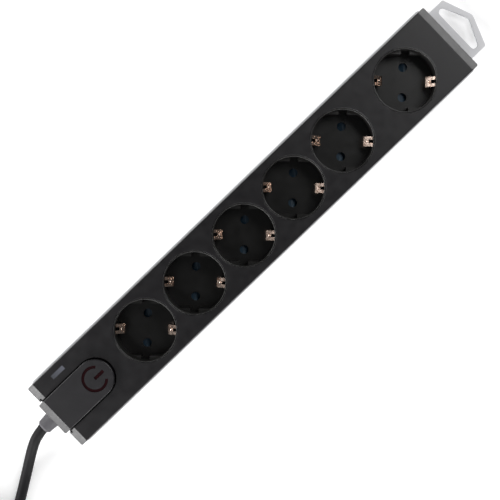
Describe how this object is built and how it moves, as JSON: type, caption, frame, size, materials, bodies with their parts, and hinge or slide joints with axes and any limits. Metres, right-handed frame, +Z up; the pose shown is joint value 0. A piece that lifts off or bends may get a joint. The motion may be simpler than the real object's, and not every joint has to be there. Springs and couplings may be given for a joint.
{
  "type": "desk power strip",
  "caption": "Long power strip with round earthed sockets set at 45 degrees, a rocking power key, a pull-out hanging loop and a lead with its plug, wound for storage.",
  "frame": {"origin": "on the table, in the middle of the middle foot; the body reaches 175.4 mm to the lead side and 173.3 mm to the hanger side", "axes": "+X along the strip to its hanging loop, -X to the lead, +Z up from the table through the sockets"},
  "size_m": [0.7139, 0.0668, 0.0449],
  "materials": {
    "cover_black": "fine spark-eroded texture, matt",
    "cup_black": "fine texture, slightly satin",
    "tray_grey": "fine texture, matt",
    "hanger_grey": "satin",
    "key_black": "fine texture, matt",
    "lens_red": "translucent, unlit",
    "inlay_blue_grey": "matt",
    "shutter_blue": "satin",
    "plate_black": "satin",
    "carrier_white": "satin",
    "switch_grey": "satin",
    "earth_metal": "nickel over copper alloy, bright",
    "contact_brass": "stamped, bright",
    "pin_nickel": "nickel plated",
    "steel_zinc": "zinc plated",
    "spring_steel": "drawn wire",
    "lamp_glass": "clear",
    "lead_brown": "extruded",
    "lead_blue": "extruded",
    "lead_green_yellow": "extruded",
    "boot_rubber": "matt",
    "foot_rubber": "matt",
    "cord_black": "extruded, semi matt",
    "plug_black": "moulded, satin"
  },
  "bodies": {
    "strip_body": {"bottom_tray": "tray_grey", "top_cover": "cover_black", "feet": "foot_rubber", "cover_screws": "steel_zinc", "marking_inlay": "inlay_blue_grey", "shutter_springs": "spring_steel", "earth_rail": "contact_brass", "contact_carrier": "carrier_white", "switch_housing": "switch_grey", "plunger_spring": "spring_steel", "switch_terminals": "contact_brass", "indicator_lamp": "lamp_glass", "lead_phase": "lead_brown", "lead_neutral": "lead_blue", "lead_earth": "lead_green_yellow", "key_pin": "steel_zinc", "hanger_guide": "plate_black", "guide_screws": "steel_zinc", "cable_boot": "boot_rubber", "cord_inner": "cord_black", "cable_clamp": "plate_black", "clamp_screws": "steel_zinc", "cord_run": "cord_black", "cord_coil": "cord_black", "cord_tail": "cord_black", "plug_body": "plug_black", "plug_boot": "boot_rubber", "plug_pins": "pin_nickel", "plug_earth": "earth_metal", "phase_rail": "contact_brass", "neutral_rail": "contact_brass", "socket_cup_1": "cup_black", "shutter_plate_1": "plate_black", "earth_bracket_1": "earth_metal", "socket_cup_2": "cup_black", "shutter_plate_2": "plate_black", "earth_bracket_2": "earth_metal", "socket_cup_3": "cup_black", "shutter_plate_3": "plate_black", "earth_bracket_3": "earth_metal", "socket_cup_4": "cup_black", "shutter_plate_4": "plate_black", "earth_bracket_4": "earth_metal", "socket_cup_5": "cup_black", "shutter_plate_5": "plate_black", "earth_bracket_5": "earth_metal", "socket_cup_6": "cup_black", "shutter_plate_6": "plate_black", "earth_bracket_6": "earth_metal"},
    "key": {"power_key": "key_black", "key_lens": "lens_red"},
    "plunger": {"switch_plunger": "carrier_white"},
    "hanger": {"hanger": "hanger_grey"},
    "shutter_1": {"shutter_1": "shutter_blue"},
    "shutter_2": {"shutter_2": "shutter_blue"},
    "shutter_3": {"shutter_3": "shutter_blue"},
    "shutter_4": {"shutter_4": "shutter_blue"},
    "shutter_5": {"shutter_5": "shutter_blue"},
    "shutter_6": {"shutter_6": "shutter_blue"}
  },
  "joints": [
    {"name": "key_press", "type": "hinge", "parent": "strip_body", "child": "key", "pos_m": [-0.165, 0, 0.0376], "axis": [0, 1, 0], "range_deg": [0, 3.5], "stiffness_Nm_per_rad": 2.5},
    {"name": "plunger_travel", "type": "slide", "parent": "strip_body", "child": "plunger", "axis": [0, 0, -1], "range_m": [0, 0.0023], "deforming": ["plunger_spring"]},
    {"name": "hanger_slide", "type": "slide", "parent": "strip_body", "child": "hanger", "axis": [1, 0, 0], "range_m": [-0.023, 0]},
    {"name": "shutter_1_turn", "type": "hinge", "parent": "strip_body", "child": "shutter_1", "pos_m": [0.1317, 0, 0.0206], "axis": [0, 0, 1], "range_deg": [0, 38], "stiffness_Nm_per_rad": 0.004},
    {"name": "shutter_2_turn", "type": "hinge", "parent": "strip_body", "child": "shutter_2", "pos_m": [0.0778, 0, 0.0206], "axis": [0, 0, 1], "range_deg": [0, 38], "stiffness_Nm_per_rad": 0.004},
    {"name": "shutter_3_turn", "type": "hinge", "parent": "strip_body", "child": "shutter_3", "pos_m": [0.0355, 0, 0.0206], "axis": [0, 0, 1], "range_deg": [0, 38], "stiffness_Nm_per_rad": 0.004},
    {"name": "shutter_4_turn", "type": "hinge", "parent": "strip_body", "child": "shutter_4", "pos_m": [-0.0075, 0, 0.0206], "axis": [0, 0, 1], "range_deg": [0, 38], "stiffness_Nm_per_rad": 0.004},
    {"name": "shutter_5_turn", "type": "hinge", "parent": "strip_body", "child": "shutter_5", "pos_m": [-0.0505, 0, 0.0206], "axis": [0, 0, 1], "range_deg": [0, 38], "stiffness_Nm_per_rad": 0.004},
    {"name": "shutter_6_turn", "type": "hinge", "parent": "strip_body", "child": "shutter_6", "pos_m": [-0.0935, 0, 0.0206], "axis": [0, 0, 1], "range_deg": [0, 38], "stiffness_Nm_per_rad": 0.004}
  ],
  "couplings": [
    {"joint": "plunger_travel", "follows": "key_press", "m_per_rad": 0.0365}
  ]
}
